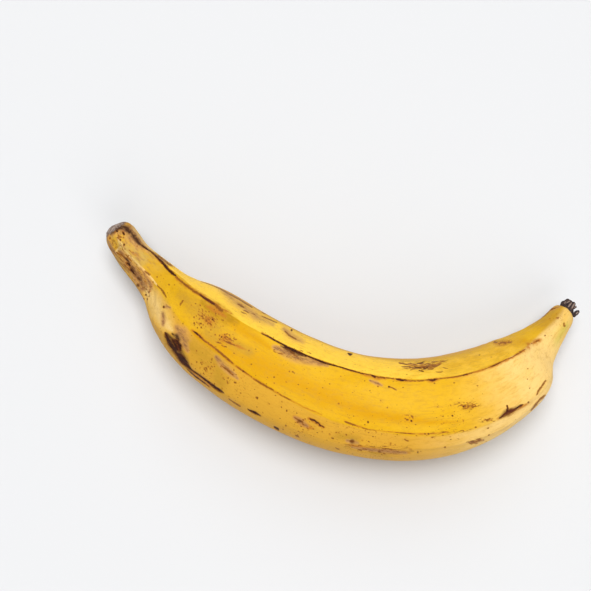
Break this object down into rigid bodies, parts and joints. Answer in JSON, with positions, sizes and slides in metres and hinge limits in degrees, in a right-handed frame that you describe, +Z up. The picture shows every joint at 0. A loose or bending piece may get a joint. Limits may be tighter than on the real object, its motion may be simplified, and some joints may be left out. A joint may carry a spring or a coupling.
{
  "type": "plantain",
  "caption": "Ripe yellow plantain lying on its side: a thick curved fruit with blunt ridges, a long cut stalk and a blunt tip with dried flower remains.",
  "frame": {"origin": "middle of the fruit's footprint, on the surface it lies on", "axes": "+X from the cut stalk to the blossom end, -Y towards the bulging belly of the bend, +Z up"},
  "size_m": [0.2562, 0.1034, 0.0545],
  "materials": {
    "peel": "waxy satin peel, yellow with brown ridge lines, bruises and freckles; ochre at the stalk, near black at the dried flower"
  },
  "bodies": {
    "root": {"plantain": "peel"}
  },
  "joints": []
}
